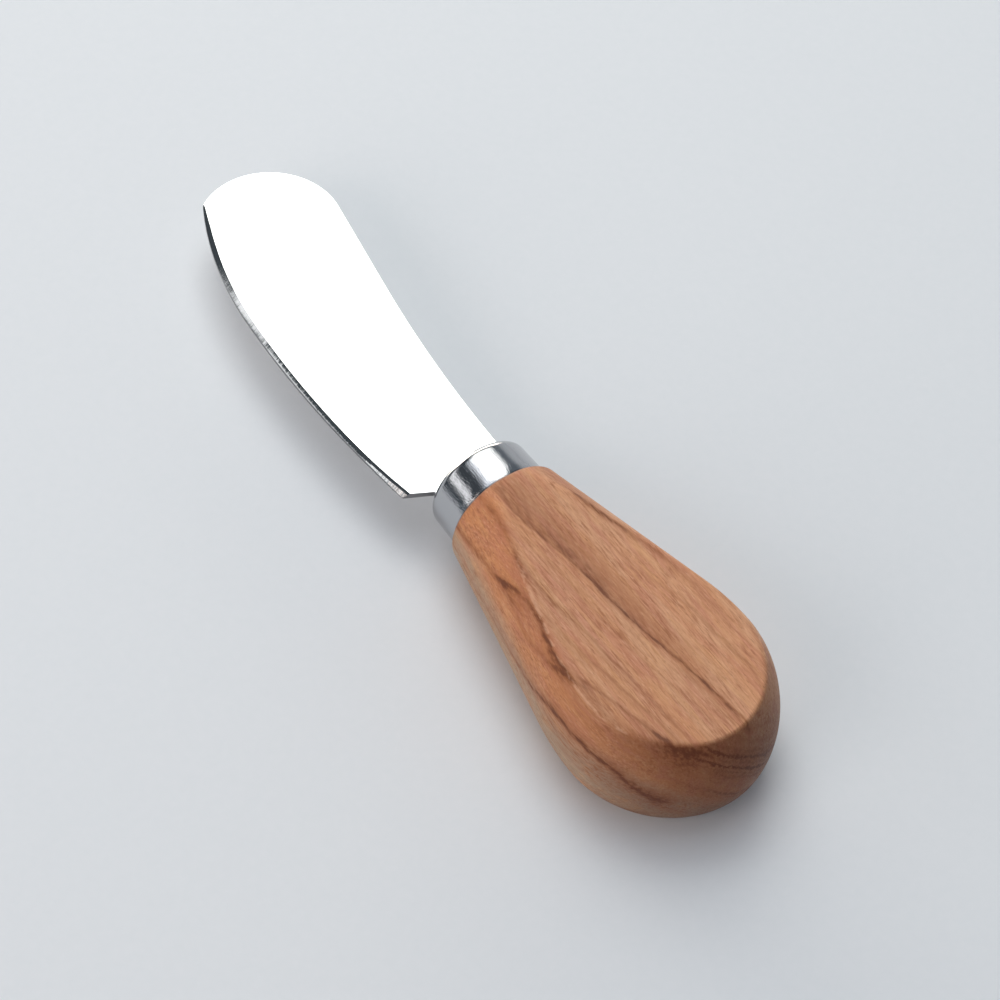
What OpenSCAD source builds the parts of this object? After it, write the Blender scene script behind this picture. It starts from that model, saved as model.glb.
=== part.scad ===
// Butter knife: a stamped steel spreader blade, its tang bonded into a turned wooden
// handle behind a drawn steel ferrule. It lies on the lower flat of the handle.
// Millimetres. +X points from the handle to the tip, +Y to the cutting edge, +Z up.
// Places along the knife are measured from the handle's shoulder, where the ferrule
// ends and the bare wood begins: positive towards the tip, negative towards the butt.

/* [Handle] */
// Length of the bare wood, from the shoulder to the end of the butt
handle_length = 55.9; // [50:0.1:62]
// Distance from the greatest diameter to the end of the butt
butt_length = 17.8; // [14:0.1:21]
// Greatest diameter of the turned body
belly_d = 32.6; // [28:0.1:38]
// Radius of the swell between the straight neck and the belly
swell_radius = 41; // [34:1:50]
// Exponent of the butt's outline: 2 is an ellipse, less is more pointed
butt_fullness = 1.87; // [1.7:0.01:2.4]
// Step from the ferrule's outside up to the wood
shoulder_step = 0.85; // [0.7:0.05:1.5]
// Rounding of the wood's front edge, beside the ferrule
shoulder_round = 0.7; // [0.3:0.05:1]
// Height of the two parallel flats above the ferrule's outside
flat_step = 0.95; // [0.5:0.05:1.5]

/* [Ferrule] */
// Outer diameter at the wood
ferrule_d = 16.7; // [15:0.1:19]
// Draft of the drawn side, in degrees
ferrule_draft = 1.5; // [0:0.1:3]
// Length from the shoulder to the closed front
ferrule_length = 7.1; // [6:0.1:9]
// Wall of the drawn steel cap
ferrule_wall = 0.6; // [0.4:0.05:0.8]
// Outer rounding of the closed front
ferrule_round = 1.2; // [1:0.05:1.4]

/* [Blade] */
// Thickness of the steel sheet
sheet_thickness = 1; // [0.8:0.05:1.6]
// Distance from the shoulder to the end of the tip
blade_reach = 75.4; // [60:0.1:90]
// Radius of the round tip
tip_radius = 11.3; // [9.6:0.1:13]
// Distance from the axis to the tip's centre, towards the spine
tip_offset = 1.3; // [0.5:0.1:2.5]
// Length of the straight stretch of the spine before the tip
spine_straight = 18; // [10:0.5:24]
// Direction of the corner between the tip and the edge, in degrees from the axis
tip_corner_angle = 36.5; // [25:0.5:50]
// Distance from the end of the tip back to where the edge's two arcs meet
front_edge_length = 25.4; // [21:0.1:30]
// Distance from the axis to the edge where they meet
edge_height = 12.05; // [11:0.05:13.5]
// Fall of the edge there, in degrees, towards the tip
edge_slope = 4.5; // [3:0.1:6]
// Radius of the edge's arc towards the heel
heel_edge_radius = 181; // [150:1:220]
// Distance from the ferrule's front to the start of the heel's fillet
heel_clearance = 0.2; // [0.1:0.05:1]
// Angle between the heel's end and the axis, in degrees
heel_angle = 64.5; // [55:0.5:75]
// Radius between the heel's end and the neck
heel_fillet = 0.9; // [0.5:0.1:1.5]
// Width of the ground bevel along the edge
bevel_width = 0.65; // [0.5:0.05:1]
// Width that is left of the bevel where it runs out at the tip
bevel_tip_width = 0.3; // [0.1:0.05:0.5]
// Thickness left below the bevel
edge_land = 0.55; // [0.2:0.05:0.6]

/* [Tang] */
// Diameter of the hole drilled for the tang
bore_d = 9; // [7:0.1:10.5]
// Wood left between the drill's point and the end of the butt
bore_end_wood = 7; // [5:0.5:12]
// Angle of the drill's point, in degrees
drill_point = 118; // [90:1:140]
// Resin on each side of the tang
tang_side_gap = 0.5; // [0.3:0.05:1]
// Resin between the tang's end and the end of the hole's wall
tang_end_gap = 2; // [1:0.5:4]
// Length of the tang's tapered end
tang_taper = 6; // [4:0.5:8]
// Width of the tang's blunt end
tang_end_width = 4; // [3:0.1:5]
// Radius of the key notches in the tang's sides
notch_radius = 1.1; // [0.6:0.05:1.4]
// Distance between neighbouring notches
notch_pitch = 8; // [6:0.5:10]

/* [Fits] */
// Depth of the blade's shoulders behind the ferrule's front wall
seat_depth = 1.4; // [0.8:0.1:2.5]
// Gap between the neck's sides and the ferrule's bore
neck_side_gap = 1.3; // [1:0.05:2]
// Gap between the wooden spigot and the ferrule
spigot_gap = 0.05; // [0.03:0.01:0.15]
// Gap round the blade's neck in the ferrule's slot
slot_gap = 0.1; // [0.05:0.01:0.2]
// Gap between the blade's shoulders and the end of the spigot
seat_gap = 0.05; // [0.02:0.01:0.2]

/* [Hidden] */
$fn = 120;

// Colours
blade_steel = [0.88, 0.89, 0.90];
ferrule_steel = [0.72, 0.73, 0.75];
olive_wood = [0.66, 0.44, 0.30];
cured_resin = [0.80, 0.74, 0.58];

// Overrun of every cut past the surface that it opens
over = 1;
// Straight pieces that stand in for a long arc, the round tip and a small arc
long_arc_pieces = 24;
round_arc_pieces = 48;
small_arc_pieces = 10;
// The ring that grinds the bevel is as round as the arcs that it follows
ring_facets = 720;

// The axis runs halfway between the flats, and X is centred on the whole knife
flat_thickness = ferrule_d + 2 * flat_step;
axis_height = flat_thickness / 2;
middle = (blade_reach - handle_length) / 2;

// Handle's profile: [distance behind the shoulder, radius]
belly_r = belly_d / 2;
belly_distance = handle_length - butt_length;
neck_r = ferrule_d / 2 + shoulder_step;
swell_centre = [belly_distance, belly_r - swell_radius];
neck_angle = asin(swell_radius / norm(swell_centre - [0, neck_r]))
    - atan2(neck_r - swell_centre.y, belly_distance);
swell_start = swell_centre + swell_radius * [-sin(neck_angle), cos(neck_angle)];
// The rounded front edge touches the shoulder's face and the neck's side
shoulder_centre = [shoulder_round,
    neck_r + shoulder_round * (tan(neck_angle) - 1 / cos(neck_angle))];
shoulder_tangent = shoulder_centre + shoulder_round * [-sin(neck_angle), cos(neck_angle)];

// Spigot: the turned step that the ferrule slides over
spigot_length = ferrule_length - ferrule_wall - seat_depth;
spigot_back_r = ferrule_d / 2 - ferrule_wall - spigot_gap;
spigot_front_r = spigot_back_r - spigot_length * tan(ferrule_draft);
drill_point_length = bore_d / 2 / tan(drill_point / 2);
bore_depth = handle_length - bore_end_wood - drill_point_length;

// Tang, measured from the blade's shoulders inside the ferrule
neck_back = spigot_length + seat_gap;
tang_depth = bore_depth - tang_end_gap;
half_tang = bore_d / 2 - tang_side_gap;
half_root = ferrule_d / 2 - ferrule_wall - neck_side_gap
    - (ferrule_length - ferrule_wall) * tan(ferrule_draft);

// Blade's outline: [distance in front of the shoulder, towards the cutting edge]
tip_centre = [blade_reach - tip_radius, -tip_offset];
// The spine's hollow starts at the ferrule's front, and the straight stretch after it
// ends tangent to the tip
hollow_start = [ferrule_length, -half_root];
hollow_to_tip = tip_centre - hollow_start;
spine_angle = 2 * atan((tip_radius - hollow_to_tip.y) / (hollow_to_tip.x + spine_straight));
spine_normal = [sin(spine_angle), cos(spine_angle)];
spine_radius = (hollow_to_tip.x - spine_straight * cos(spine_angle)) / sin(spine_angle)
    - tip_radius;
hollow_centre = hollow_start - [0, spine_radius];
hollow_end = hollow_centre + spine_radius * spine_normal;
tip_start = tip_centre - tip_radius * spine_normal;
tip_corner = tip_centre + tip_radius * [cos(tip_corner_angle), sin(tip_corner_angle)];
// Two arcs that share a tangent make the cutting edge, and the front one ends at the tip
edge_normal = [sin(edge_slope), cos(edge_slope)];
edge_point = [blade_reach - front_edge_length, edge_height];
edge_to_corner = tip_corner - edge_point;
front_edge_radius = -(edge_to_corner * edge_to_corner) / (2 * edge_to_corner * edge_normal);
front_edge_centre = edge_point - front_edge_radius * edge_normal;
// The front bevel narrows towards the tip, so its inner line is an arc of its own
corner_normal = (tip_corner - front_edge_centre) / front_edge_radius;
bevel_run_out = edge_to_corner - bevel_tip_width * corner_normal + bevel_width * edge_normal;
front_bevel_radius = bevel_width
    - (bevel_run_out * bevel_run_out) / (2 * bevel_run_out * edge_normal);
heel_edge_centre = edge_point - heel_edge_radius * edge_normal;
// The heel's end rises from the neck to the edge, with a fillet at its root
heel_line = [cos(heel_angle), sin(heel_angle)];
fillet_run = heel_fillet * tan(heel_angle / 2);
fillet_back = [ferrule_length + heel_clearance, half_root];
heel_root = fillet_back + [fillet_run, 0];
fillet_front = heel_root + fillet_run * heel_line;
fillet_centre = fillet_back + [0, heel_fillet];
heel_corner = leaves_circle(heel_root, heel_line, heel_edge_centre, heel_edge_radius);

// Where a line that starts inside a circle leaves it
function leaves_circle(start, direction, centre, radius) =
    let (from = start - centre, along = from * direction)
    start + direction * (sqrt(along ^ 2 - from * from + radius ^ 2) - along);

// Points along an arc, the shorter way round from one place to the other
function arc(centre, radius, from, to, pieces) =
    let (a = atan2(from.y - centre.y, from.x - centre.x),
         b = atan2(to.y - centre.y, to.x - centre.x),
         turn = (b - a + 540) % 360 - 180)
    [for (i = [0 : pieces])
        centre + radius * [cos(a + turn * i / pieces), sin(a + turn * i / pieces)]];

// Points along the butt, from the belly to the axis
function butt(pieces) =
    [for (i = [0 : pieces])
        [belly_distance + butt_length * sin(90 * i / pieces) ^ (2 / butt_fullness),
         belly_r * max(0, cos(90 * i / pieces)) ^ (2 / butt_fullness)]];

// A list without its first item, where one curve goes on from another
function tail(list) = [for (i = [1 : len(list) - 1]) list[i]];

// Moves a piece from the shoulder's frame to the part's frame
module place() {
    translate([-middle, 0, axis_height]) children();
}

// Turns a profile of [radius, distance] about the knife's axis, distance towards the tip
module turn_forward() {
    rotate([0, 90, 0]) rotate_extrude() children();
}

// The same with the distance towards the butt
module turn_back() {
    rotate([0, -90, 0]) rotate_extrude() children();
}

// The stamped outline, from the tip to the blunt end of the notched tang
module steel_outline() {
    half_end = tang_end_width / 2;
    taper_start = tang_taper - tang_depth;
    difference() {
        polygon(concat(
            arc(heel_edge_centre, heel_edge_radius, heel_corner, edge_point, long_arc_pieces),
            tail(arc(front_edge_centre, front_edge_radius, edge_point, tip_corner,
                     long_arc_pieces)),
            tail(arc(tip_centre, tip_radius, tip_corner, tip_start, round_arc_pieces)),
            arc(hollow_centre, spine_radius, hollow_end, hollow_start, long_arc_pieces),
            [[neck_back, -half_root], [neck_back, -half_tang], [taper_start, -half_tang],
             [-tang_depth, -half_end], [-tang_depth, half_end], [taper_start, half_tang],
             [neck_back, half_tang], [neck_back, half_root]],
            arc(fillet_centre, heel_fillet, fillet_back, fillet_front, small_arc_pieces)));
        for (x = [-notch_pitch : -notch_pitch : taper_start + notch_radius], side = [-1, 1])
            translate([x, side * half_tang]) circle(notch_radius);
    }
}

// Cone-shaped ring that grinds the bevel along one arc of the edge, over a run from
// the place where the arcs meet: -1 towards the heel, 1 towards the tip
module bevel_ring(radius, run, side) {
    depth = sheet_thickness - edge_land;
    overrun = over * bevel_width / depth;
    box_height = 2 * (sheet_thickness + over);
    translate([edge_point.x, edge_point.y, 0]) rotate([0, 0, -edge_slope]) intersection() {
        translate([0, -radius, sheet_thickness / 2])
            rotate_extrude($fn = ring_facets)
                polygon([[radius - bevel_width - overrun, over],
                         [radius + overrun, -depth - over],
                         [radius + overrun, over]]);
        translate([side > 0 ? 0 : -run, -radius, -box_height / 2])
            cube([run, 2 * radius, box_height]);
    }
}

module blade() {
    color(blade_steel) place() difference() {
        linear_extrude(height = sheet_thickness, center = true) steel_outline();
        bevel_ring(heel_edge_radius, edge_point.x - ferrule_length, -1);
        bevel_ring(front_bevel_radius, front_edge_length, 1);
    }
}

// Half section of a drawn cap with a drafted side and a rounded front edge
module cap_section(back_r, length, round_r) {
    centre = [back_r - (length - round_r) * tan(ferrule_draft) - round_r / cos(ferrule_draft),
              length - round_r];
    side = centre + round_r * [cos(ferrule_draft), sin(ferrule_draft)];
    front = centre + [0, round_r];
    polygon(concat([[0, 0], [back_r, 0]],
                   arc(centre, round_r, side, front, small_arc_pieces),
                   [[0, length]]));
}

module ferrule() {
    inner_r = ferrule_d / 2 - ferrule_wall;
    slot_width = 2 * (half_root + slot_gap);
    slot_height = sheet_thickness + 2 * slot_gap;
    color(ferrule_steel) place() difference() {
        turn_forward() difference() {
            cap_section(ferrule_d / 2, ferrule_length, ferrule_round);
            cap_section(inner_r, ferrule_length - ferrule_wall, ferrule_round - ferrule_wall);
        }
        translate([ferrule_length - ferrule_wall - over, -slot_width / 2, -slot_height / 2])
            cube([ferrule_wall + 2 * over, slot_width, slot_height]);
    }
}

// Half section of the turned handle, without its spigot, drawn as
// [distance behind the shoulder, radius] and mirrored for the lathe
module handle_section() {
    shoulder_edge = [0, shoulder_centre.y];
    belly = [belly_distance, belly_r];
    mirror([1, -1]) polygon(concat(
        [[0, 0]],
        arc(shoulder_centre, shoulder_round, shoulder_edge, shoulder_tangent, small_arc_pieces),
        arc(swell_centre, swell_radius, swell_start, belly, small_arc_pieces),
        tail(butt(long_arc_pieces))));
}

// The drilled hole for the tang, from the spigot's end to the drill's point
module tang_hole(opening) {
    rotate([0, -90, 0]) {
        translate([0, 0, -spigot_length - opening])
            cylinder(h = spigot_length + opening + bore_depth, d = bore_d);
        translate([0, 0, bore_depth]) cylinder(h = drill_point_length, d1 = bore_d, d2 = 0);
    }
}

module handle() {
    color(olive_wood) place() difference() {
        union() {
            intersection() {
                turn_back() handle_section();
                translate([-handle_length - over, -belly_d, -flat_thickness / 2])
                    cube([handle_length + 2 * over, 2 * belly_d, flat_thickness]);
            }
            rotate([0, 90, 0])
                cylinder(h = spigot_length, r1 = spigot_back_r, r2 = spigot_front_r);
        }
        tang_hole(over);
    }
}

module tang_adhesive() {
    color(cured_resin) place() difference() {
        tang_hole(0);
        linear_extrude(height = sheet_thickness, center = true) steel_outline();
    }
}

blade();
ferrule();
handle();
tang_adhesive();
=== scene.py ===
"""Butter knife: a mirror-polished spreader blade, a brushed steel ferrule and a turned
olive-wood handle with two flats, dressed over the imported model.

Places in this script are in millimetres from the handle's shoulder, on the knife's axis:
x towards the tip, y towards the cutting edge, z up. P() turns them into the model's frame.
"""
import math

import bmesh
import bpy
import numpy as np
from mathutils import Matrix, Vector


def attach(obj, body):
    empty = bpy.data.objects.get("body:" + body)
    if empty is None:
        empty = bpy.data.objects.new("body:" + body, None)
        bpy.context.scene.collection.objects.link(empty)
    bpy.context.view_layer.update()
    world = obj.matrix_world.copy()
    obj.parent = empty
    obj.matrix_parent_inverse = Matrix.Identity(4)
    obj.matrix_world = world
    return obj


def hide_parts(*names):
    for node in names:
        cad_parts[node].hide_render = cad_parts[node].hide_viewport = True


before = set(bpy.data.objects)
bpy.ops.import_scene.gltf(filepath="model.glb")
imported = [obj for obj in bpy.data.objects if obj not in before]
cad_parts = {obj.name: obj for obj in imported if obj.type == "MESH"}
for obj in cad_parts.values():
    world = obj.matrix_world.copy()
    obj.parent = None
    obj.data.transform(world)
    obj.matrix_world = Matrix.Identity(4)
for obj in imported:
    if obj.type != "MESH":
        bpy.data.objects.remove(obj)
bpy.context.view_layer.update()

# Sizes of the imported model, in millimetres
HANDLE_LENGTH, BUTT_LENGTH, BELLY_R, SWELL_R = 55.9, 17.8, 16.29, 41.0
BUTT_FULLNESS, NECK_R, SHOULDER_ROUND, FLAT_H = 1.87, 9.2, 0.7, 9.3
FERRULE_R, FERRULE_DRAFT, FERRULE_LENGTH = 8.35, math.radians(1.5), 7.1
FERRULE_WALL, FERRULE_ROUND = 0.6, 1.5
SHEET, REACH, TIP_R, TIP_OFFSET = 1.0, 75.4, 11.3, 1.3
SPINE_STRAIGHT, TIP_CORNER_ANGLE, FRONT_EDGE, EDGE_HEIGHT = 18.0, 36.5, 25.4, 12.05
EDGE_SLOPE, HEEL_EDGE_R, HEEL_CLEARANCE = math.radians(4.5), 181.0, 0.2
HEEL_ANGLE, HEEL_FILLET = math.radians(64.5), 0.9
BORE_R, BORE_DEPTH, DRILL_POINT = 4.5, 46.196, math.radians(118)
HALF_TANG, TANG_DEPTH, TANG_TAPER, TANG_END = 4.0, 44.196, 6.0, 4.0
NOTCH_R, NOTCH_PITCH = 1.1, 8.0
SPIGOT_LENGTH, SPIGOT_GAP, SEAT_GAP, SLOT_GAP = 5.1, 0.05, 0.05, 0.1
NECK_SIDE_GAP = 1.3
MIDDLE = (REACH - HANDLE_LENGTH) / 2
HALF_ROOT = (FERRULE_R - FERRULE_WALL - NECK_SIDE_GAP
             - (FERRULE_LENGTH - FERRULE_WALL) * math.tan(FERRULE_DRAFT))
# Sizes that only the looks need: the rounding of sheared edges, of the wood's crease and of
# the ferrule's lip, and the depth and length of the roll at the ferrule's rim
EDGE_SOFTENING, CREASE_SOFTENING, LIP = 0.06, 0.45, 0.3
RIM_ROLL, ROLL_LENGTH = 0.2, 1.8
# How close two points of the bevel's lines count as a pair, and an angle that sets where
# those lines end on the tip's arc
CLOSE_POINTS, TIP_RUNOUT = 0.35, 0.52


def P(x, y, z):
    """A place measured from the shoulder, in millimetres, as a point of the model's frame."""
    return Vector(((x - MIDDLE) / 1000, y / 1000, (z + FLAT_H) / 1000))


def finish_mesh(name, bm, materials, smooth_angle=30):
    """Writes a bmesh made in millimetres as a piece in metres, with smooth shading."""
    bmesh.ops.recalc_face_normals(bm, faces=bm.faces)
    bm.transform(Matrix.Translation(P(0, 0, 0)) @ Matrix.Scale(0.001, 4))
    mesh = bpy.data.meshes.new(name)
    bm.to_mesh(mesh)
    bm.free()
    piece = bpy.data.objects.new(name, mesh)
    bpy.context.scene.collection.objects.link(piece)
    for m in materials:
        mesh.materials.append(m)
    for p in mesh.polygons:
        p.use_smooth = True
    mesh.set_sharp_from_angle(angle=math.radians(smooth_angle))
    return piece


# Node helpers
class Nodes:
    """Short calls that add shader nodes to one material."""

    def __init__(self, name):
        self.material = bpy.data.materials.new(name)
        self.material.use_nodes = True
        self.tree = self.material.node_tree
        self.shader = self.tree.nodes["Principled BSDF"]
        self.coords = self.tree.nodes.new("ShaderNodeTexCoord").outputs["Object"]

    def add(self, kind, inputs=(), **settings):
        node = self.tree.nodes.new(kind)
        for key, value in settings.items():
            setattr(node, key, value)
        for key, value in dict(inputs).items():
            self.put(value, node.inputs[key])
        return node

    def put(self, value, socket):
        if isinstance(value, bpy.types.NodeSocket):
            self.tree.links.new(value, socket)
        else:
            socket.default_value = value

    def math(self, operation, a, b=0.0, clamp=False):
        node = self.add("ShaderNodeMath", {0: a, 1: b}, operation=operation)
        node.use_clamp = clamp
        return node.outputs[0]

    def total(self, first, *others):
        for other in others:
            first = self.math("ADD", first, other)
        return first

    def product(self, first, *others):
        for other in others:
            first = self.math("MULTIPLY", first, other)
        return first

    def vector(self, operation, a, b=(0, 0, 0)):
        return self.add("ShaderNodeVectorMath", {0: a, 1: b}, operation=operation).outputs[0]

    def local(self):
        """The place in millimetres from the shoulder."""
        moved = self.vector("SUBTRACT", self.coords, tuple(P(0, 0, 0)))
        return self.vector("MULTIPLY", moved, (1000, 1000, 1000))

    def split(self, vector):
        return self.add("ShaderNodeSeparateXYZ", {0: vector}).outputs

    def join(self, x, y, z):
        return self.add("ShaderNodeCombineXYZ", {0: x, 1: y, 2: z}).outputs[0]

    def noise(self, vector, scale, detail=2.0, rough=0.5):
        node = self.add("ShaderNodeTexNoise", {"Vector": vector, "Scale": scale,
                                               "Detail": detail, "Roughness": rough})
        return node.outputs["Fac"]

    def ramp(self, value, low, high, to_low=0.0, to_high=1.0, kind="SMOOTHSTEP"):
        node = self.add("ShaderNodeMapRange", {"Value": value, "From Min": low, "From Max": high,
                                               "To Min": to_low, "To Max": to_high},
                        interpolation_type=kind)
        return node.outputs["Result"]

    def mix(self, share, a, b):
        node = self.add("ShaderNodeMix", data_type="RGBA")
        self.put(share, node.inputs["Factor"])
        self.put(a, node.inputs[6])
        self.put(b, node.inputs[7])
        return node.outputs[2]

    def curve(self, value, points):
        """A smooth curve through (x, y) points, for values from 0 to 1."""
        node = self.add("ShaderNodeFloatCurve", {"Value": value})
        line = node.mapping.curves[0]
        for _ in range(len(points) - 2):
            line.points.new(0.5, 0.5)
        for point, (x, y) in zip(line.points, points):
            point.location = (x, y)
        node.mapping.update()
        return node.outputs[0]

    def bell(self, distance, width):
        """1 at no distance, fading like a bell over the width."""
        share = self.math("DIVIDE", distance, width)
        return self.math("EXPONENT", self.product(share, share, -1.0))

    def bump(self, height, distance, strength=1.0):
        return self.add("ShaderNodeBump", {"Height": height, "Distance": distance,
                                           "Strength": strength}).outputs["Normal"]

    def shade(self, **values):
        for key, value in values.items():
            self.put(value, self.shader.inputs[key.replace("_", " ")])
        return self.material


def rgb(r, g, b):
    """A colour read from a picture, 0 to 255, as linear light."""
    def lin(c):
        c = c / 255
        return c / 12.92 if c <= 0.04045 else ((c + 0.055) / 1.055) ** 2.4

    return (lin(r), lin(g), lin(b), 1.0)


def mirror_steel():
    n = Nodes("polished blade steel")
    place = n.local()
    haze = n.noise(place, 0.35, 3)
    lines = n.noise(n.vector("MULTIPLY", place, (0.5, 6, 6)), 2.0, 3, 0.6)
    rough = n.total(n.ramp(haze, 0.3, 0.7, 0.05, 0.085), n.ramp(lines, 0.3, 0.7, 0, 0.02))
    return n.shade(Base_Color=(0.83, 0.835, 0.84, 1), Metallic=1.0, Roughness=rough,
                   Normal=n.bump(lines, 0.000002, 0.4))


def ground_steel():
    n = Nodes("ground bevel steel")
    run = n.add("ShaderNodeAttribute", attribute_name="edge_run").outputs["Fac"]
    streak = n.noise(n.join(run, 0.0, 0.0), 3.2, 3, 0.6)
    coarse = n.noise(n.join(run, 3.0, 0.0), 1.0, 2, 0.6)
    height = n.total(streak, n.product(coarse, 1.5))
    return n.shade(Base_Color=(0.51, 0.515, 0.52, 1), Metallic=1.0,
                   Roughness=n.ramp(streak, 0.3, 0.7, 0.05, 0.1),
                   Normal=n.bump(height, 0.000025, 0.8))


def sheared_steel():
    n = Nodes("sheared sheet edge")
    place = n.local()
    lines = n.noise(n.vector("MULTIPLY", place, (3, 3, 0.4)), 3.0, 3, 0.6)
    return n.shade(Base_Color=(0.24, 0.24, 0.25, 1), Metallic=1.0,
                   Roughness=n.ramp(lines, 0.3, 0.7, 0.28, 0.42),
                   Normal=n.bump(lines, 0.00003, 0.6))


def brushed_steel():
    n = Nodes("brushed ferrule steel")
    place = n.local()
    fine = n.noise(n.vector("MULTIPLY", place, (1.3, 4.5, 4.5)), 1.0, 3, 0.65)
    wide = n.noise(n.vector("MULTIPLY", place, (0.15, 1.3, 1.3)), 1.0, 2, 0.5)
    height = n.total(fine, n.product(wide, 0.4))
    x = n.split(place)[0]
    to_front = n.math("SUBTRACT", FERRULE_LENGTH, x)
    # The closed front is smoother than the brushed side
    height = n.product(height, n.ramp(to_front, 1.0, 0.2, 1.0, 0.15))
    # Painted shade next to the joint with the wood, and a painted dark reflection round the
    # front's edge
    joint_shade = n.ramp(x, 0.6, 0.2)
    rim = n.product(n.ramp(to_front, 0.55, 0.3, 0.0, 0.7), n.ramp(to_front, 0.02, 0.08))
    painted_shade = n.math("MAXIMUM", joint_shade, rim)
    return n.shade(Base_Color=n.mix(painted_shade, (0.47, 0.47, 0.485, 1), (0.14, 0.13, 0.125, 1)),
                   Metallic=1.0, Roughness=n.ramp(fine, 0.3, 0.7, 0.04, 0.12),
                   Normal=n.bump(height, 0.00004, 0.6))


# Distance behind the shoulder that the courses below are drawn over
DRAWN = 56.0
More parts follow.
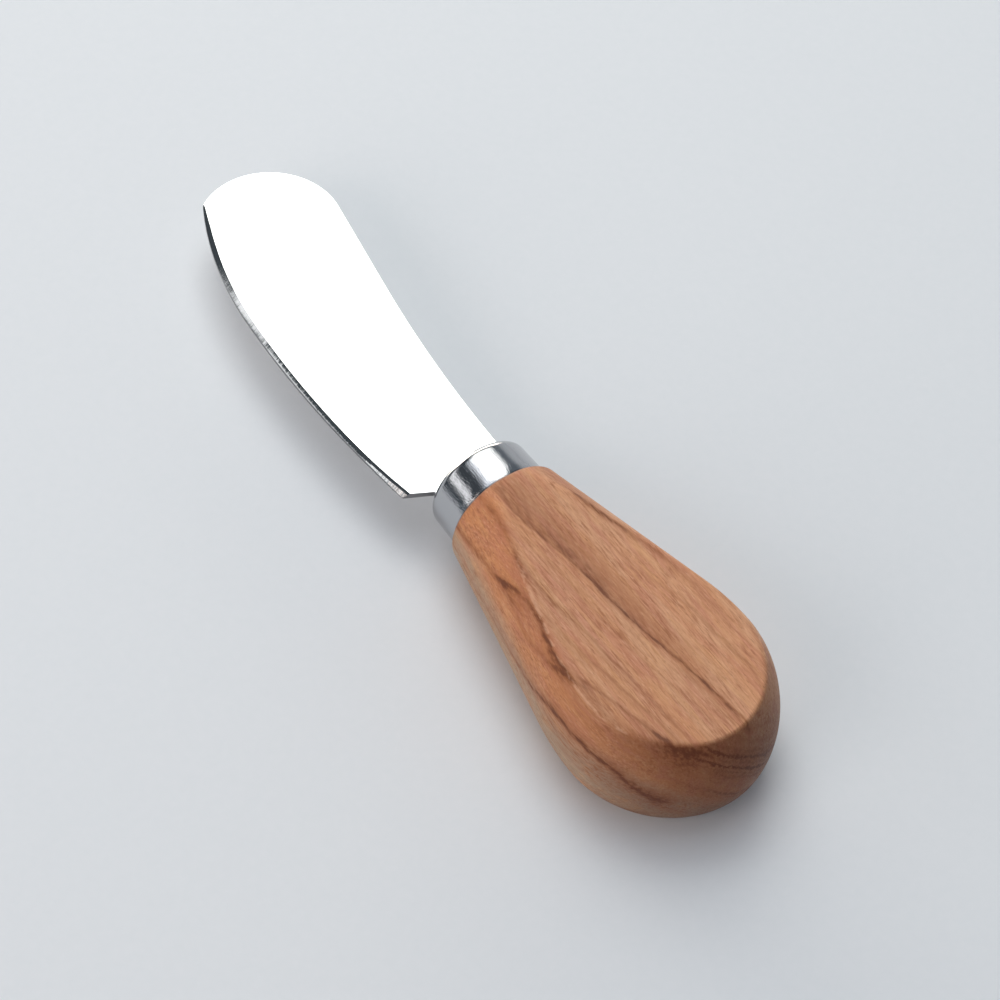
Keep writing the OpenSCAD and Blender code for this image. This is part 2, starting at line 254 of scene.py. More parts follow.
# Dark veins of the wood. Each has its course, as (distance behind the shoulder, degrees
# round the axis from the middle of the upper flat, positive towards the cutting edge), its
# strength along the way, the half width of its core, and the width and share of the brown
# zone beside it, positive towards the cutting edge. A share of 1 leaves out the core.
VEINS = (
    # The long one over the middle of the flat
    (((0, 21.5), (5, 21), (10, 18), (15, 12.2), (20, 8.4), (25, 5.6), (30, 2.2), (35, -2),
      (40, -7.8), (45, -13), (50, -15.5), (54, -19)),
     ((0, 0.0), (8, 0.06), (15, 0.1), (20, 0.24), (28, 0.55), (37, 0.6), (46, 0.5), (52, 0.5)),
     0.45, 0, 0),
    # Its brown zones
    (((0, 20), (8, 19), (15, 12), (20, 8), (25, 5.4), (30, 2.2), (40, -8), (50, -16)),
     ((0, 0.45), (6, 0.6), (16, 0.68), (24, 0.6), (32, 0.55), (40, 0.3), (47, 0.1)),
     0.1, -5.4, 1.0),
    (((36, -3), (40, -7.8), (45, -13), (50, -15.5), (54, -19)),
     ((0, 0), (38, 0), (44, 0.5), (50, 0.4), (53, 0.3)), 0.1, 2.4, 1.0),
    # Broad brown stretches: the neck, its right side, the left crease and the low left side
    (((0, 0), (8, -2), (16, -3), (30, -8)),
     ((0, 0.24), (8, 0.16), (16, 0.12), (26, 0.06), (34, 0)), 4.0, 0, 0),
    (((0, -42), (6, -42), (14, -40), (20, -42)),
     ((0, 0.6), (8, 0.45), (14, 0.2), (20, 0)), 2.0, 0, 0),
    (((24, 56), (36, 58), (44, 56), (50, 48)),
     ((0, 0), (24, 0.1), (32, 0.22), (42, 0.34), (50, 0.6)), 2.6, 0, 0),
    (((22, 84), (34, 86), (44, 86), (50, 94)),
     ((0, 0), (24, 0.08), (34, 0.3), (46, 0.45), (53, 0.5)), 2.8, 0, 0),
    (((13, 59), (17, 57), (20, 53.5), (23, 51), (26, 51.5), (30, 54)),
     ((0, 0), (12, 0), (15, 0.38), (20, 0.38), (25, 0.36), (30, 0.25), (34, 0)), 1.1, 0, 0),
    (((44, 79), (48, 82), (52, 90)), ((0, 0), (43, 0), (47, 0.4), (52, 0.45)), 1.5, 0, 0),
    # Along the left crease
    (((0, 32.5), (5, 32.5), (10, 35.5), (13, 40), (15, 41.5), (20, 46.5), (23, 50), (26, 53),
      (29, 54.8), (35, 54.5), (40, 53), (45, 50), (48, 45.5), (50, 41), (53, 33)),
     ((0, 0.55), (5, 0.6), (10, 0.55), (14, 0.75), (20, 0.4), (28, 0.52), (34, 0.42), (40, 0.2),
      (47, 0.3), (50, 0.4), (53, 0.2)),
     0.7, 2.6, 0.5),
    # The one that leaves the crease and runs over the flat's end
    (((33, 53), (37, 50.5), (41, 47.5), (46, 43.5), (50, 41)),
     ((0, 0), (32, 0), (36, 0.5), (43, 0.6), (50, 0.35)), 0.4, 1.6, 0.45),
    # The dark patch under the butt's end of the crease
    (((36, 54), (42, 50), (46, 45), (49, 39), (51, 34), (53.5, 25)),
     ((0, 0), (42, 0.0), (46, 0.2), (49, 0.45), (53, 0.35)), 0.6, 1.4, 0.35),
    # The sharp one on the left side, its upper and its lower branch
    (((0, 71), (5, 66.5), (10, 61.6), (13, 59.5), (15, 55.5), (17, 52.2), (20, 51.2), (24, 53),
      (28, 55.2), (31, 54.4), (35, 52.5)),
     ((0, 0.75), (8, 0.6), (12, 0.6), (15, 0.66), (17.5, 0.45), (22, 0.28), (28, 0.2), (34, 0.1),
      (40, 0.0)),
     0.5, -1.2, 0.4),
    (((12, 60), (15, 60), (18, 61.6), (20, 63), (23, 64.7), (26, 62.5), (29, 60), (33, 56)),
     ((0, 0), (11, 0), (14, 0.4), (20, 0.35), (26, 0.45), (30, 0.5), (34, 0.35), (37, 0.0)),
     0.65, -2.2, 0.5),
    # The low one on the left side
    (((0, 92), (8, 91), (12, 90), (16, 88), (20, 87.4), (24, 86), (28, 83.4), (30, 80.6),
      (33, 77.2), (36, 76.2), (40, 75.6), (43, 76.2), (46, 78.1), (48, 83), (50, 88), (52, 92),
      (54, 101)),
     ((0, 0.1), (10, 0.35), (20, 0.55), (28, 0.8), (36, 0.95), (43, 0.9), (48, 0.4), (53, 0.3)),
     0.5, -2.2, 0.6),
    # Thin lines on the flat, inside the left crease
    (((14, 38), (20, 40), (25, 38), (30, 37), (35, 35), (40, 33), (45, 31.5), (50, 30)),
     ((0, 0), (14, 0.2), (20, 0.65), (28, 0.5), (38, 0.55), (46, 0.5), (50, 0.3)),
     0.35, 1.6, 0.4),
    (((24, 47), (30, 45.5), (35, 43.5), (40, 41), (45, 38), (49, 36)),
     ((0, 0), (24, 0.3), (30, 0.55), (36, 0.5), (44, 0.5), (49, 0.25)), 0.35, 1.4, 0.45),
    (((8, 27), (14, 24), (20, 23), (28, 21), (36, 17), (44, 10), (50, 6)),
     ((0, 0), (10, 0.1), (18, 0.22), (26, 0.3), (36, 0.16), (46, 0.2)), 0.35, 1.8, 0.5),
    # Along the right crease
    (((0, -28), (5, -32), (10, -35), (15, -39), (20, -43.5), (25, -47), (30, -49), (36, -49.5)),
     ((0, 0.15), (6, 0.3), (11, 0.75), (18, 0.7), (25, 0.45), (32, 0.3), (38, 0.1)),
     0.5, -1.4, 0.4),
    (((18, -28), (24, -32), (30, -38), (36, -41), (42, -43), (46, -43), (49, -40)),
     ((0, 0), (18, 0.1), (26, 0.25), (34, 0.4), (42, 0.5), (47, 0.35)), 0.35, 1.2, 0.3),
)


def away_from(n, course, drawn, angle, metric):
    """Distance round the axis from a course of (distance behind the shoulder, degrees)."""
    at = n.curve(drawn, [(s / DRAWN, a / 360 + 0.5) for s, a in course])
    turn = n.math("SUBTRACT", angle, n.product(n.math("SUBTRACT", at, 0.5), 2 * math.pi))
    return n.product(turn, metric)


def vein_darkness(n, back, drawn, angle, metric, shift):
    """Share of dark wood in the drawn veins, and of brown beside them."""
    dark = 0.0
    for course, strength, core, zone, zone_share in VEINS:
        away = n.total(away_from(n, course, drawn, angle, metric), shift)
        value = n.bell(away, core) if zone_share < 1 else 0.0
        if zone:
            beside = n.product(away, 1 if zone > 0 else -1)
            fade = n.product(n.ramp(beside, abs(zone), 0.0), n.ramp(beside, -0.25, 0.1))
            value = n.math("MAXIMUM", value, n.product(fade, zone_share))
        power = n.math("MAXIMUM", n.curve(drawn, [(s / DRAWN, v) for s, v in strength]), 0.0)
        dark = n.total(dark, n.product(value, power))
    return n.product(dark, n.ramp(back, 54.0, 51.0))


# Layers that the butt's end cuts across: height, half width and strength
BUTT_LAYERS = ((12.2, 0.8, 0.3), (10.4, 0.7, 0.4), (8.7, 0.6, 0.4), (7.2, 0.45, 0.4),
               (6.2, 0.45, 0.7), (5.2, 0.3, 0.4), (4.2, 0.35, 0.85), (3.3, 0.25, 0.5),
               (2.6, 0.3, 0.5), (5.5, 3.4, 0.28), (1.3, 0.3, 0.2), (-0.9, 0.5, 0.7),
               (-1.9, 0.3, 0.3), (-3.0, 2.5, 0.15), (-4.6, 0.5, 0.3), (-7.4, 0.55, 0.65),
               (-8.4, 0.35, 0.35), (-11, 0.6, 0.35), (-14, 0.7, 0.4))


def butt_darkness(n, back, y, z, shift):
    """Share of dark wood in the layers at the butt, which slope down from the left."""
    layer = n.total(n.math("SUBTRACT", z, n.product(y, 0.62)), n.product(shift, 2.4))
    dark = 0.0
    for level, core, power in BUTT_LAYERS:
        dark = n.total(dark, n.product(n.bell(n.math("SUBTRACT", layer, level), core), power))
    below_flat = n.ramp(z, FLAT_H - 0.05, FLAT_H - 0.4)
    return n.product(dark, n.ramp(y, 6.5, 3.0, 0.35, 1.0), below_flat, n.ramp(back, 49.5, 52.5))


def hidden_darkness(n, place, back, angle, y, z):
    """Share of dark wood in the growth rings of the sides that the photo doesn't show."""
    hidden = n.math("MAXIMUM", n.ramp(angle, math.radians(96), math.radians(125)),
                    n.ramp(angle, math.radians(-55), math.radians(-80)))
    drift = n.noise(n.vector("MULTIPLY", place, (0.045, 0.1, 0.1)), 1.0, 3, 0.55)
    ring = n.total(y, n.product(z, 0.45), n.product(drift, 16.0))
    wave = n.ramp(n.math("SINE", n.product(ring, 1.25)), -0.2, 1.0, kind="LINEAR")
    patchy = n.noise(n.vector("MULTIPLY", place, (0.04, 0.25, 0.25)), 1.0, 2)
    lines = n.product(n.math("POWER", wave, 3.0), n.ramp(patchy, 0.35, 0.65, 0.12, 0.8))
    return n.product(lines, hidden, n.ramp(back, 53.0, 50.0, 0.25, 1.0))


# Course of the one orange stretch, drawn like those of the veins
ORANGE = ((0, 47.88), (10.08, 50.04), (19.04, 64.8), (29.12, 65.88), (40.32, 64.8), (56, 57.6))


def olive():
    n = Nodes("oiled olive wood")
    place = n.local()
    x, y, z = n.split(place)
    back = n.product(x, -1.0)
    drawn = n.math("DIVIDE", back, DRAWN, clamp=True)
    angle = n.math("ARCTAN2", y, z)

    def grain(length, width, detail=3, rough=0.55, offset=0.0):
        """Noise of spots with this length along the grain and width across it."""
        moved = n.vector("ADD", place, (offset, offset, offset)) if offset else place
        scaled = n.vector("MULTIPLY", moved, (1 / length, 1 / width, 1 / width))
        return n.noise(scaled, 1.0, detail, rough)

    def weigh(value, weight):
        return n.product(n.math("SUBTRACT", value, 0.5), weight)

    def less(share, weight):
        return n.math("SUBTRACT", 1.0, n.product(share, weight))

    # Wandering of the veins: slow, quick, and frayed by the fibres
    shift = n.total(weigh(grain(11, 6), 0.9), weigh(grain(2.5, 2), 0.5),
                    weigh(grain(3.0, 0.45), 0.6))
    reach = n.math("SQRT", n.total(n.product(y, y), n.product(z, z)))
    # One radian is worth the radius on the round sides, and more across the flat
    on_flat = n.ramp(z, FLAT_H - 0.5, FLAT_H - 0.1)
    stretch = n.product(on_flat, n.math("SUBTRACT", n.math("DIVIDE", reach, FLAT_H), 1.0))
    metric = n.product(reach, n.total(stretch, 1.0))
    dark = n.total(vein_darkness(n, back, drawn, angle, metric, shift),
                   butt_darkness(n, back, y, z, shift),
                   hidden_darkness(n, place, back, angle, y, z))
    # Broad changes of hue: tan over pinkish and golden streaks, and one orange stretch
    side = n.ramp(angle, math.radians(62), math.radians(84))
    orange = n.bell(away_from(n, ORANGE, drawn, angle, metric), 3.6)
    patches = n.product(n.ramp(grain(18, 3.0), 0.4, 0.6, 0.0, 0.5), less(side, 0.5))
    warm = n.math("ADD", patches, orange, clamp=True)
    right = n.ramp(angle, math.radians(-4), math.radians(-26))
    colour = n.mix(right, (0.60, 0.305, 0.164, 1), (0.65, 0.338, 0.186, 1))
    colour = n.mix(side, colour, (0.44, 0.322, 0.218, 1))
    colour = n.mix(n.product(warm, 0.9), colour, (0.58, 0.236, 0.097, 1))
    pink = n.ramp(grain(14, 1.5, offset=31.0), 0.42, 0.66, 0.0, 0.6)
    colour = n.mix(n.product(pink, less(side, 0.7)), colour, (0.53, 0.205, 0.125, 1))
    golden = n.ramp(grain(9, 1.1, offset=57.0), 0.5, 0.7, 0.0, 0.5)
    colour = n.mix(golden, colour, (0.66, 0.335, 0.15, 1))
    # Fibres, pale flecks and dark pores
    fibre = grain(3.0, 0.33, 4, 0.65)
    fleck = grain(1.4, 0.22, 3, 0.6, offset=11.0)
    pore = n.ramp(grain(1.3, 0.17, 2, 0.5, offset=23.0), 0.62, 0.74)
    bunch = n.ramp(grain(13, 2.6, offset=43.0), 0.38, 0.62, 0.35, 1.0)
    colour = n.mix(n.product(n.ramp(fibre, 0.42, 0.72, 0.0, 0.85), bunch), colour,
                   (0.34, 0.12, 0.052, 1))
    colour = n.mix(n.ramp(fleck, 0.5, 0.78, 0.0, 0.38), colour, (0.82, 0.48, 0.30, 1))
    colour = n.mix(n.ramp(fleck, 0.5, 0.24, 0.0, 0.42), colour, (0.36, 0.14, 0.07, 1))
    colour = n.mix(n.product(pore, 0.5), colour, (0.22, 0.075, 0.03, 1))
    # The veins, uneven in depth, and darkest where they are strong
    uneven = n.product(dark, n.ramp(grain(2.2, 0.5, offset=5.0), 0.3, 0.7, 1.15, 0.7))
    colour = n.mix(n.math("MINIMUM", n.product(uneven, 0.9), 0.9), colour,
                   (0.27, 0.082, 0.028, 1))
    colour = n.mix(n.ramp(uneven, 0.5, 1.2, 0.0, 0.85), colour, (0.15, 0.047, 0.02, 1))
    # The crease is painted paler: a little wear, and a painted highlight along its rounding
    crease = n.product(n.ramp(z, FLAT_H - 0.5, FLAT_H - 0.25),
                       n.ramp(z, FLAT_H - 0.02, FLAT_H - 0.12),
                       n.ramp(back, 10, 16), n.ramp(back, 48, 43),
                       n.ramp(grain(2.5, 0.8), 0.4, 0.62, 0.0, 0.45))
    colour = n.mix(crease, colour, (0.80, 0.48, 0.31, 1))
    # End grain drinks more oil and is darker
    normal = n.split(n.add("ShaderNodeNewGeometry").outputs["Normal"])
    end_grain = n.ramp(n.math("ABSOLUTE", normal[0]), 0.2, 0.9, 0.0, 0.62, "LINEAR")
    colour = n.mix(end_grain, colour, (0.085, 0.014, 0.002, 1))
    height = n.total(fibre, fleck, n.product(pore, -0.8))
    return n.shade(Base_Color=colour, Roughness=n.ramp(fibre, 0.3, 0.7, 0.44, 0.58),
                   Specular_IOR_Level=0.25, Normal=n.bump(height, 0.00004, 0.7))


def resin():
    n = Nodes("cured resin")
    place = n.local()
    cloud = n.noise(place, 0.4, 3)
    return n.shade(Base_Color=n.mix(cloud, rgb(196, 176, 128), rgb(226, 212, 170)),
                   Roughness=n.ramp(cloud, 0.3, 0.7, 0.25, 0.45),
                   Normal=n.bump(n.noise(place, 3.0, 3), 0.00003, 0.3))


# Blade
def arc(centre, radius, start, end, pieces):
    """Points of the shorter arc round a centre, from one direction to another."""
    a = math.atan2(start[1] - centre[1], start[0] - centre[0])
    b = math.atan2(end[1] - centre[1], end[0] - centre[0])
    turn = (b - a + 3 * math.pi) % (2 * math.pi) - math.pi
    angles = a + turn * np.linspace(0, 1, pieces + 1)
    return [(centre[0] + radius * math.cos(t), centre[1] + radius * math.sin(t)) for t in angles]


def leaves_circle(start, direction, centre, radius):
    """Where a line from inside a circle leaves it."""
    fx, fy = start[0] - centre[0], start[1] - centre[1]
    along = fx * direction[0] + fy * direction[1]
    t = math.sqrt(along ** 2 - fx * fx - fy * fy + radius ** 2) - along
    return (start[0] + direction[0] * t, start[1] + direction[1] * t)


# Width of the hand-ground bevel at distances from the shoulder, and its slope in degrees
BEVEL = ((9, 0.98), (13, 0.76), (17, 0.62), (24, 0.56), (40, 0.58), (50, 0.66), (58, 0.73),
         (65, 0.75), (69, 0.66), (71.5, 0.46), (73.2, 0.3))
BEVEL_SLOPE = ((9, 34), (43.5, 34), (46.5, 36.8), (53, 36.8), (56, 33), (73.2, 32))
# Width and slope of the steeper outer facet, which runs out in front of the heel
HONED = ((9, 0.62), (13, 0.36), (19, 0.14), (26, 0.11), (60, 0.12), (73.2, 0.1))
HONED_SLOPE = ((9, 46), (16, 46), (19.5, 40), (42, 39), (46, 34), (73.2, 33))


def along(table, x):
    """A value read between the rows of a table of (x, value)."""
    return float(np.interp(x, [row[0] for row in table], [row[1] for row in table]))


def zip_lines(bm, outer, inner):
    """Faces between two lines of points that run the same way in x, with four sides where the
    next points of both lie close together."""
    faces = []
    i = j = 0
    while i < len(outer) - 1 or j < len(inner) - 1:
        more_out, more_in = i + 1 < len(outer), j + 1 < len(inner)
        gap = inner[j + 1].co.x - outer[i + 1].co.x if more_out and more_in else 0.0
        if more_out and more_in and abs(gap) < CLOSE_POINTS:
            faces.append(bm.faces.new((outer[i], inner[j], inner[j + 1], outer[i + 1])))
            i, j = i + 1, j + 1
        elif more_in and (not more_out or gap < 0):
            faces.append(bm.faces.new((outer[i], inner[j], inner[j + 1])))
            j += 1
        else:
            faces.append(bm.faces.new((outer[i], inner[j], outer[i + 1])))
            i += 1
    return faces


def make_blade(polished, ground, sheared):
    tip = (REACH - TIP_R, -TIP_OFFSET)
    hollow_start = (FERRULE_LENGTH, -HALF_ROOT)
    to_tip = (tip[0] - hollow_start[0], tip[1] - hollow_start[1])
    spine = 2 * math.atan((TIP_R - to_tip[1]) / (to_tip[0] + SPINE_STRAIGHT))
    sn = (math.sin(spine), math.cos(spine))
    spine_r = (to_tip[0] - SPINE_STRAIGHT * sn[1]) / sn[0] - TIP_R
    hollow = (hollow_start[0], hollow_start[1] - spine_r)
    hollow_end = (hollow[0] + spine_r * sn[0], hollow[1] + spine_r * sn[1])
    tip_start = (tip[0] - TIP_R * sn[0], tip[1] - TIP_R * sn[1])
    a = math.radians(TIP_CORNER_ANGLE)
    corner = (tip[0] + TIP_R * math.cos(a), tip[1] + TIP_R * math.sin(a))
    en = (math.sin(EDGE_SLOPE), math.cos(EDGE_SLOPE))
    ep = (REACH - FRONT_EDGE, EDGE_HEIGHT)
    ec = (corner[0] - ep[0], corner[1] - ep[1])
    front_r = -(ec[0] ** 2 + ec[1] ** 2) / (2 * (ec[0] * en[0] + ec[1] * en[1]))
    front_c = (ep[0] - front_r * en[0], ep[1] - front_r * en[1])
    heel_c = (ep[0] - HEEL_EDGE_R * en[0], ep[1] - HEEL_EDGE_R * en[1])
    line = (math.cos(HEEL_ANGLE), math.sin(HEEL_ANGLE))
    run = HEEL_FILLET * math.tan(HEEL_ANGLE / 2)
    back = (FERRULE_LENGTH + HEEL_CLEARANCE, HALF_ROOT)
    root = (back[0] + run, back[1])
    front = (root[0] + run * line[0], root[1] + run * line[1])
    heel = leaves_circle(root, line, heel_c, HEEL_EDGE_R)
    neck = SPIGOT_LENGTH + SEAT_GAP
    taper = TANG_TAPER - TANG_DEPTH
    half = SHEET / 2

    # The cutting edge, from the heel to the tip's corner, and the bevel's lines inside it
    edge_out = arc(heel_c, HEEL_EDGE_R, heel, ep, 64) + arc(front_c, front_r, ep, corner, 64)[1:]

    def inside(table):
        points = []
        for x, y in edge_out:
            c, r = (heel_c, HEEL_EDGE_R) if x < ep[0] else (front_c, front_r)
            w = along(table, x)
            points.append((x - w * (x - c[0]) / r, y - w * (y - c[1]) / r))
        # The line ends on the heel's end and on the tip
        slope = math.atan2(heel[0] - heel_c[0], heel[1] - heel_c[1])
        step = along(table, heel[0]) / math.sin(HEEL_ANGLE + slope)
        first = (heel[0] - step * line[0], heel[1] - step * line[1])
        turn = a - along(table, corner[0]) / TIP_R / math.sin(math.pi / 2 - a + TIP_RUNOUT)
        last = (tip[0] + TIP_R * math.cos(turn), tip[1] + TIP_R * math.sin(turn))
        return [first] + [p for p in points[1:-1] if p[0] > first[0] + 0.1] + [last]

    edge_in, edge_mid = inside(BEVEL), inside(HONED)
    # The rest of the outline, from the tip's inner corner round the tang to the heel
    tang_side = []
    for x in np.arange(-NOTCH_PITCH, taper + NOTCH_R - 1e-6, -NOTCH_PITCH):
        tang_side += [(x + NOTCH_R * math.cos(t), -HALF_TANG + NOTCH_R * math.sin(t))
                      for t in np.linspace(0, math.pi, 25)]
    lower = [(neck, -HALF_TANG)] + tang_side + [(taper, -HALF_TANG)]
    upper = [(x, -y) for x, y in reversed(lower)]
    rest = arc(tip, TIP_R, edge_in[-1], tip_start, 72)
    rest += arc(hollow, spine_r, hollow_end, hollow_start, 40)
    rest += [(neck, -HALF_ROOT)] + lower
    rest += [(-TANG_DEPTH, -TANG_END / 2), (-TANG_DEPTH, TANG_END / 2)] + upper
    rest += [(neck, HALF_ROOT)]
    rest += arc((back[0], back[1] + HEEL_FILLET), HEEL_FILLET, back, front, 10)

    bm = bmesh.new()
    run_layer = bm.verts.layers.float.new("edge_run")

    def vert(x, y, z):
        v = bm.verts.new((x, y, z))
        v[run_layer] = x
        return v

    def depth(x):
        """Depths that the bevel and its outer facet fall through."""
        honed = along(HONED, x)
        return ((along(BEVEL, x) - honed) * math.tan(math.radians(along(BEVEL_SLOPE, x))),
                honed * math.tan(math.radians(along(HONED_SLOPE, x))))

    out_top = [vert(x, y, half - sum(depth(x))) for x, y in edge_out]
    mid_top = [vert(x, y, half - depth(x)[0]) for x, y in edge_mid]
    in_top = [vert(x, y, half) for x, y in edge_in]
    rest_top = [vert(x, y, half) for x, y in rest[1:]]
    loop = out_top + [mid_top[-1], in_top[-1]] + rest_top + [in_top[0], mid_top[0]]
    bottom = [bm.verts.new((v.co.x, v.co.y, -half)) for v in loop]
    for i in range(len(loop)):
        j = (i + 1) % len(loop)
        wall = bm.faces.new((loop[i], loop[j], bottom[j], bottom[i]))
        wall.material_index = 2
    top = bm.faces.new(in_top + rest_top)
    under = bm.faces.new(list(reversed(bottom)))
    for face in zip_lines(bm, out_top, mid_top) + zip_lines(bm, mid_top, in_top):
        face.material_index = 1
    # The sheared and tumbled edges are softened a little, but not the ground ones
    ground_edges = {e for f in bm.faces if f.material_index == 1 for e in f.edges}
    soft = [e for e in list(top.edges) + list(under.edges) if e not in ground_edges]
    bmesh.ops.bevel(bm, geom=soft, offset=EDGE_SOFTENING, segments=2, profile=0.5,
                    affect="EDGES", clamp_overlap=True)
    return finish_mesh("blade_steel_sheet", bm, [polished, ground, sheared], 9)


# Ferrule
def ring(bm, x, radii, angles):
    """A closed ring of points round the axis."""
    return [bm.verts.new((x, r * math.cos(t), r * math.sin(t))) for r, t in zip(radii, angles)]


def bridge(bm, a, b):
    """Faces between two rings of as many points."""
    for i in range(len(a)):
        bm.faces.new((a[i], a[(i + 1) % len(a)], b[(i + 1) % len(b)], b[i]))


def make_ferrule(material):
    segments = 160
    angles = np.linspace(0, 2 * math.pi, segments, endpoint=False)

    def cap(back_r, length, round_r, pieces):
        """The rounding between the drafted side and the closed front."""
        cx = length - round_r
        cr = back_r - cx * math.tan(FERRULE_DRAFT) - round_r / math.cos(FERRULE_DRAFT)
        return [(cx + round_r * math.sin(t), cr + round_r * math.cos(t))
                for t in np.linspace(FERRULE_DRAFT, math.pi / 2, pieces + 1)]

    def side(x):
        """Radius of the side, whose rim at the wood is rolled in a little."""
        roll = RIM_ROLL * max(0.0, 1 - x / ROLL_LENGTH) ** 2
        return FERRULE_R - x * math.tan(FERRULE_DRAFT) - roll

    outer = [(LIP * (1 - math.cos(t)), side(LIP) - LIP * (1 - math.sin(t)))
             for t in np.linspace(0, math.pi / 2, 9)]
    outer += [(x, side(x)) for x in (0.5, 0.7, 0.9, 1.1, 1.3, 1.5, 1.8, 2.4, 3.6, 4.9)]
    outer += cap(FERRULE_R, FERRULE_LENGTH, FERRULE_ROUND, 16)
    inner_r = FERRULE_R - FERRULE_WALL
    inner = [(0, inner_r)] + [(x, inner_r - x * math.tan(FERRULE_DRAFT)) for x in (2.4, 4.8)]
    inner += cap(inner_r, FERRULE_LENGTH - FERRULE_WALL, FERRULE_ROUND - FERRULE_WALL, 6)
    bm = bmesh.new()
    out_rings = [ring(bm, x, [r] * segments, angles) for x, r in outer]
    in_rings = [ring(bm, x, [r] * segments, angles) for x, r in inner]
    for rings in (out_rings, in_rings):
        for a, b in zip(rings, rings[1:]):
            bridge(bm, a, b)
    bridge(bm, out_rings[0], in_rings[0])
    # The closed front with its slot
    w, h = HALF_ROOT + SLOT_GAP, SHEET / 2 + SLOT_GAP
    slot = [(-w, -h), (w, -h), (w, h), (-w, h)]
    walls = []
    for last, x in ((out_rings[-1], FERRULE_LENGTH),
                    (in_rings[-1], FERRULE_LENGTH - FERRULE_WALL)):
        verts = [bm.verts.new((x, y, z)) for y, z in slot]
        edges = [bm.edges.get((last[i], last[(i + 1) % segments])) for i in range(segments)]
        edges += [bm.edges.new((verts[i], verts[(i + 1) % 4])) for i in range(4)]
        bmesh.ops.triangle_fill(bm, use_beauty=True, use_dissolve=False, edges=edges)
        walls.append(verts)
    bridge(bm, walls[0], walls[1])
    return finish_mesh("ferrule_drawn_cap", bm, [material], 35)


# Handle
def radius_at(s):
    """Radius of the turned body at a distance behind the shoulder."""
    belly = HANDLE_LENGTH - BUTT_LENGTH
    centre = BELLY_R - SWELL_R
    reach = math.hypot(belly, centre - NECK_R)
    slope = math.asin(SWELL_R / reach) - math.atan2(NECK_R - centre, belly)
    start = belly - SWELL_R * math.sin(slope)
    if s < start:
        r = NECK_R + s * math.tan(slope)
    elif s < belly:
        r = centre + math.sqrt(SWELL_R ** 2 - (s - belly) ** 2)
    else:
        t = min(1.0, (s - belly) / BUTT_LENGTH)
        r = BELLY_R * (1 - t ** BUTT_FULLNESS) ** (1 / BUTT_FULLNESS)
    return r


def soft_min(a, b, k):
    """The smaller of two lengths, rounded over where they are within k of each other."""
    return min(a, b) - max(k - abs(a - b), 0) ** 2 / (4 * k)


def make_handle(material):
    belly = HANDLE_LENGTH - BUTT_LENGTH
    # Stations from the shoulder to the butt, closer together where the flat ends
    stations = [SHOULDER_ROUND * (1 - math.cos(t)) for t in np.linspace(0, math.pi / 2, 9)]
    stations += list(np.linspace(SHOULDER_ROUND, belly, 70)[1:])
    lo, hi = belly, HANDLE_LENGTH
    for _ in range(60):
        mid = (lo + hi) / 2
        lo, hi = (mid, hi) if radius_at(mid) > FLAT_H else (lo, mid)
    end = lo
    stations += list(np.linspace(belly, end - 1.2, 34)[1:])
    stations += list(np.linspace(end - 1.2, end + 1.0, 23)[1:])
    left = HANDLE_LENGTH - end - 1.0
    stations += [HANDLE_LENGTH - left * (1 - math.sin(t))
                 for t in np.linspace(0, math.pi / 2, 26)[1:-1]]
    n_flat, n_edge, n_side = 14, 8, 20

    def quarter(c):
        """Angles from the side up to the top, close together round the flat's crease."""
        w = min(0.14, 0.35 * (math.pi / 2 - c) + 0.03)
        c = min(c, math.pi / 2 - 2.2 * w)
        return np.concatenate([np.linspace(0, c - w, n_side + 1)[:-1],
                               np.linspace(c - w, c + w, n_edge + 1)[:-1],
                               np.linspace(c + w, math.pi / 2, n_flat + 1)])

    def angles_at(r):
        """Angles all round a section of this radius, with one at each crease."""
        c = math.asin(min(1.0, FLAT_H / r)) if r > FLAT_H else math.pi / 2
        q = quarter(min(max(c, 0.3), 1.38))
        up = np.concatenate([q, math.pi - q[::-1][1:]])
        return np.concatenate([up, -up[::-1][1:-1]])

    def section(r):
        """Radii and angles of a round section cut by the two flats."""
        out, ts = [], angles_at(r)
        for t in ts:
            limit = FLAT_H / max(1e-6, abs(math.sin(t)))
            near = r > FLAT_H - CREASE_SOFTENING
            out.append(soft_min(r, limit, CREASE_SOFTENING) if near else r)
        return out, ts

    bm = bmesh.new()
    rings = []
    for s in stations:
        r = radius_at(max(s, SHOULDER_ROUND))
        radii, ts = section(r)
        if s < SHOULDER_ROUND:
            inset = SHOULDER_ROUND - s
            drop = SHOULDER_ROUND - math.sqrt(max(0, SHOULDER_ROUND ** 2 - inset ** 2))
            fall = inset * (radius_at(1) - radius_at(0))
            radii = [q - drop - fall for q in radii]
        rings.append(ring(bm, -s, radii, ts))
    ts = angles_at(radius_at(SHOULDER_ROUND))
    spigot_back = FERRULE_R - FERRULE_WALL - SPIGOT_GAP
    spigot_front = spigot_back - SPIGOT_LENGTH * math.tan(FERRULE_DRAFT)
    inner = [(0.0, spigot_back), (SPIGOT_LENGTH, spigot_front), (SPIGOT_LENGTH, BORE_R),
             (-BORE_DEPTH / 2, BORE_R), (-BORE_DEPTH, BORE_R)]
    front = [ring(bm, x, [r] * len(ts), ts) for x, r in inner]
    chain = list(reversed(rings)) + front
    for a, b in zip(chain, chain[1:]):
        bridge(bm, a, b)
    for last, x in ((rings[-1], -HANDLE_LENGTH),
                    (front[-1], -BORE_DEPTH - BORE_R / math.tan(DRILL_POINT / 2))):
        pole = bm.verts.new((x, 0, 0))
        for i in range(len(last)):
            bm.faces.new((last[i], last[(i + 1) % len(last)], pole))
    return finish_mesh("handle_turned_wood", bm, [material], 50)


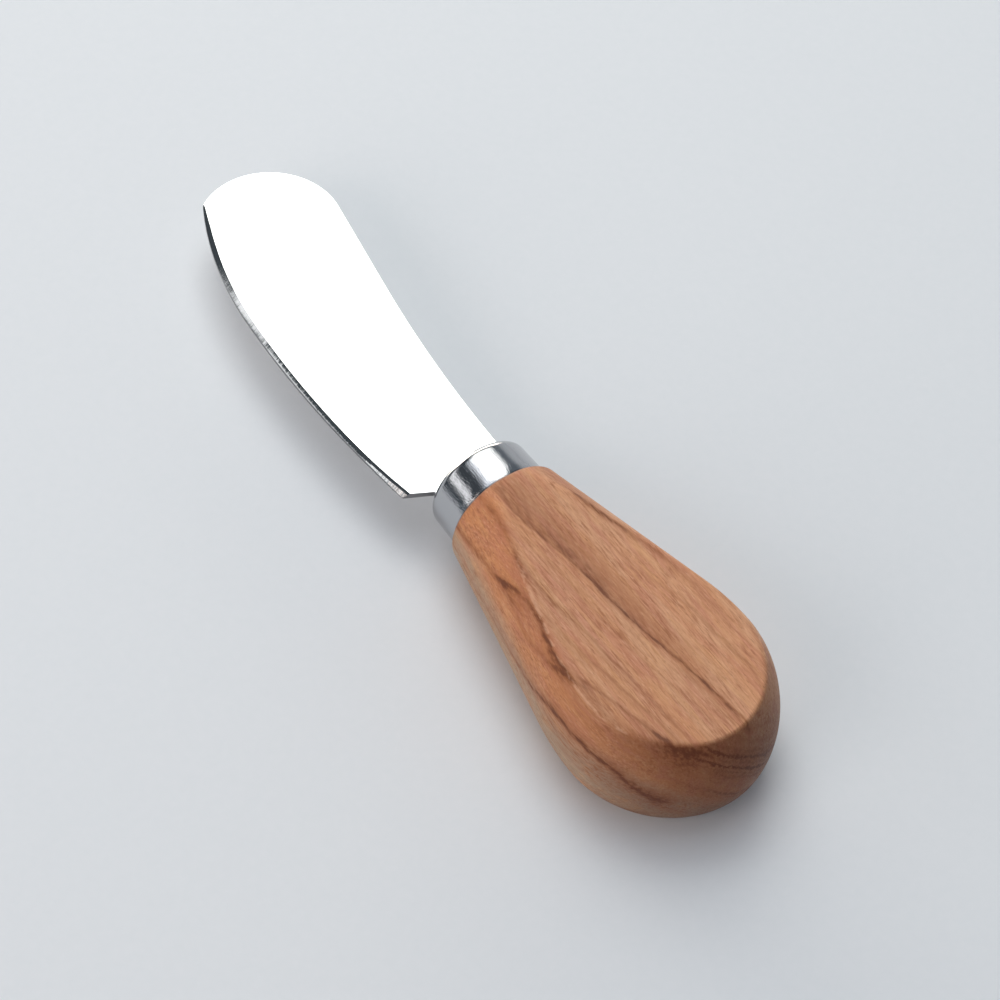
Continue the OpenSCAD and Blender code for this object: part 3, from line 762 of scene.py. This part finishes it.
steel, ground, brushed, wood = mirror_steel(), ground_steel(), brushed_steel(), olive()
blade = make_blade(steel, ground, sheared_steel())
ferrule = make_ferrule(brushed)
handle = make_handle(wood)
for piece, node, slot in ((blade, "blade", "blade_steel"), (ferrule, "ferrule", "ferrule_steel"),
                          (handle, "handle", "olive_wood")):
    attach(piece, "root")
    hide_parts(node)
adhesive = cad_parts["tang_adhesive"]
adhesive.data.materials.clear()
adhesive.data.materials.append(resin())

# Floor
bm = bmesh.new()
bmesh.ops.create_grid(bm, x_segments=1, y_segments=1, size=2.0)
mesh = bpy.data.meshes.new("floor")
bm.to_mesh(mesh)
bm.free()
floor = bpy.data.objects.new("floor", mesh)
bpy.context.scene.collection.objects.link(floor)
n = Nodes("pale paper floor")
speck = n.noise(n.local(), 0.8, 3)
mesh.materials.append(n.shade(Base_Color=n.mix(speck, rgb(226, 230, 234), rgb(230, 233, 237)),
                              Roughness=0.9, Specular_IOR_Level=0.1))

# Camera: its place and its right, up and back axes, as they fit the photo's outlines
camera_data = bpy.data.cameras.new("camera")
camera_data.sensor_width, camera_data.lens = 36, 108
camera_data.clip_start, camera_data.clip_end = 0.01, 10
camera = bpy.data.objects.new("camera", camera_data)
bpy.context.scene.collection.objects.link(camera)
azimuth, elevation, roll = (math.radians(v) for v in (-130.45, 52.56, 6.54))
back = Vector((math.sin(azimuth) * math.cos(elevation), -math.cos(azimuth) * math.cos(elevation),
               math.sin(elevation)))
level = Vector((math.cos(azimuth), math.sin(azimuth), 0))
rise = back.cross(level)
right = math.cos(roll) * level + math.sin(roll) * rise
up = -math.sin(roll) * level + math.cos(roll) * rise
rotation = Matrix((right, up, back)).transposed().to_4x4()
camera.matrix_world = Matrix.Translation(P(-199.461, 170.869, 345.699)) @ rotation
bpy.context.scene.camera = camera


# Light. The panels face one place on the blade. The room is brighter than its backdrop,
# which has this direction and fades into the room between these angles from it.
LIT_POINT = (10, 0, 0)
ROOM_STRENGTH, BACKDROP_STRENGTH = 0.2, 0.095
BACKDROP_DIRECTION = (0.657, 0.551, 0.515)
BACKDROP_FROM, BACKDROP_TO = math.radians(26), math.radians(37)


def panel(name, direction, distance, size, watts, colour=(1, 1, 1)):
    """A soft rectangular light, placed by its direction from a point of the blade."""
    data = bpy.data.lights.new(name, "AREA")
    data.shape = "RECTANGLE"
    data.size, data.size_y = size
    data.energy, data.color = watts, colour
    light = bpy.data.objects.new(name, data)
    bpy.context.scene.collection.objects.link(light)
    towards = Vector(direction).normalized()
    turn = towards.to_track_quat("Z", "Y").to_matrix().to_4x4()
    light.matrix_world = Matrix.Translation(P(*LIT_POINT) + towards * distance) @ turn


panel("key", (0.498, -0.254, 0.829), 1.0, (0.64, 0.69), 3.6, (0.99, 1, 0.95))
panel("upper", (0.20, -0.03, 0.98), 1.0, (0.8, 0.8), 2.4, (0.97, 1, 1.05))
panel("back", (0.94, -0.29, 0.17), 1.2, (1.35, 0.30), 9.2, (1.10, 1, 0.88))
panel("left", (-0.1, 0.88, 0.46), 1.1, (0.7, 0.7), 3.35, (1.14, 0.98, 0.9))
panel("left_strip", (0.546, 0.711, 0.443), 1.1, (0.74, 0.24), 0.9)
panel("right_low", (0.36, -0.91, 0.2), 1.1, (0.85, 0.42), 0.5)


def studio():
    """The pale room round the table, with a darker backdrop behind the left strip."""
    world = bpy.data.worlds.new("studio")
    world.use_nodes = True
    tree = world.node_tree
    background = tree.nodes["Background"]
    background.inputs["Color"].default_value = (0.86, 1.0, 1.14, 1)
    backdrop = tree.nodes.new("ShaderNodeVectorMath")
    backdrop.operation = "DOT_PRODUCT"
    backdrop.inputs[1].default_value = Vector(BACKDROP_DIRECTION).normalized()
    tree.links.new(tree.nodes.new("ShaderNodeTexCoord").outputs["Generated"], backdrop.inputs[0])
    shade = tree.nodes.new("ShaderNodeMapRange")
    shade.interpolation_type = "SMOOTHSTEP"
    shade.inputs["From Min"].default_value = math.cos(BACKDROP_TO)
    shade.inputs["From Max"].default_value = math.cos(BACKDROP_FROM)
    shade.inputs["To Min"].default_value = ROOM_STRENGTH
    shade.inputs["To Max"].default_value = BACKDROP_STRENGTH
    tree.links.new(backdrop.outputs["Value"], shade.inputs["Value"])
    tree.links.new(shade.outputs["Result"], background.inputs["Strength"])
    bpy.context.scene.world = world


studio()
bpy.context.scene.view_settings.view_transform = "Standard"
